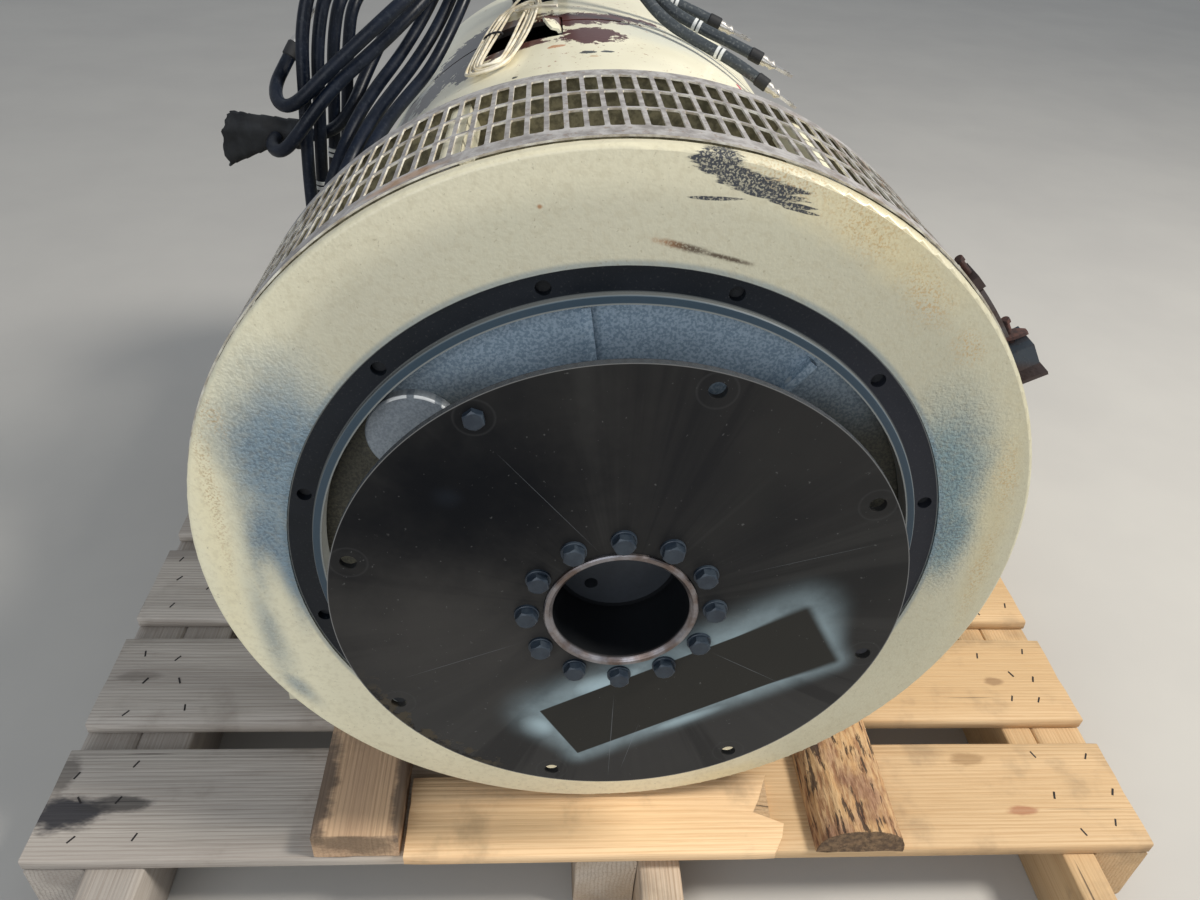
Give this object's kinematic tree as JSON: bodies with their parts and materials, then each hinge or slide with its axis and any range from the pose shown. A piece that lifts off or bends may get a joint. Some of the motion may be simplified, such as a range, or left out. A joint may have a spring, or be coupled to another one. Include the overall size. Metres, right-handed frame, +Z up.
{
  "type": "generator end on a pallet",
  "caption": "Alternator end of a generating set with engine flange, coupling discs, screened fan and rolled shell, chocked on a timber pallet.",
  "frame": {"origin": "on the shaft's axis, in the face of the engine flange", "axes": "+Y along the shaft away from the engine, +Z up, +X to the right seen from the engine"},
  "size_m": [1.219, 1.234, 0.8976],
  "materials": {
    "flange_black": "satin black, machined under the paint",
    "cream_paint": "cream enamel with a light orange peel",
    "screen_grey": "dull galvanized grey",
    "seam_dark": "dark sealed seam",
    "core_steel": "varnished laminations",
    "coil_varnish": "red-brown winding varnish",
    "turned_steel": "turned, lightly tarnished",
    "disc_steel": "dark spring steel, smudged",
    "bolt_dark": "blackened",
    "fan_cast": "rough cast, speckled",
    "rusty_steel": "rusted",
    "deck_wood": "weathered softwood",
    "timber_wood": "weathered softwood",
    "bark_wood": "split log with its bark",
    "black_rubber": "moulded rubber plate",
    "lead_rubber": "rubber cable sheath, half matt",
    "black_tape": "friction tape, dull",
    "thin_wire": "cream insulated signal wire",
    "tinned_lug": "tinned copper lugs"
  },
  "bodies": {
    "frame": {"bearing_cap": "cream_paint", "clamp_bolts": "rusty_steel", "clamp_cleats": "rusty_steel", "clamp_strap": "rusty_steel", "deck_boards": "deck_wood", "engine_flange": "flange_black", "fan_screen": "screen_grey", "flat_chock": "timber_wood", "flush_timbers": "timber_wood", "foot_left": "cream_paint", "foot_right": "cream_paint", "forward_timbers": "timber_wood", "front_coils": "coil_varnish", "front_plate": "cream_paint", "inlet_grille": "screen_grey", "lead_grommet": "black_rubber", "lead_hanging_1": "lead_rubber", "lead_hanging_2": "lead_rubber", "lead_hanging_3": "lead_rubber", "lead_hanging_4": "lead_rubber", "lead_looped_1": "lead_rubber", "lead_looped_2": "lead_rubber", "lead_lugs": "tinned_lug", "lead_right_1": "lead_rubber", "lead_right_2": "lead_rubber", "lead_right_3": "lead_rubber", "lead_shoulder_1": "lead_rubber", "lead_shoulder_2": "lead_rubber", "lead_shoulder_3": "lead_rubber", "lead_taped": "lead_rubber", "log_chock": "bark_wood", "loose_plank": "deck_wood", "main_shell": "cream_paint", "rear_bearing": "turned_steel", "rear_bracket": "cream_paint", "rear_coils": "coil_varnish", "rear_shell": "cream_paint", "screen_hoops": "screen_grey", "screen_struts": "cream_paint", "shell_ring": "cream_paint", "shell_seam": "seam_dark", "stator_core": "core_steel", "taped_ends": "black_tape", "wire_hank": "thin_wire"},
    "rotor": {"shaft": "turned_steel", "rotor_core": "core_steel", "rotor_coils": "coil_varnish", "exciter": "core_steel", "drive_hub": "turned_steel", "coupling_discs": "disc_steel", "hub_bolts": "bolt_dark", "rim_bolt": "bolt_dark", "fan": "fan_cast"}
  },
  "joints": [
    {"name": "rotor_spin", "type": "hinge", "parent": "frame", "child": "rotor", "pos_m": [0, 0, 0], "axis": [0, 1, 0], "continuous": true}
  ]
}
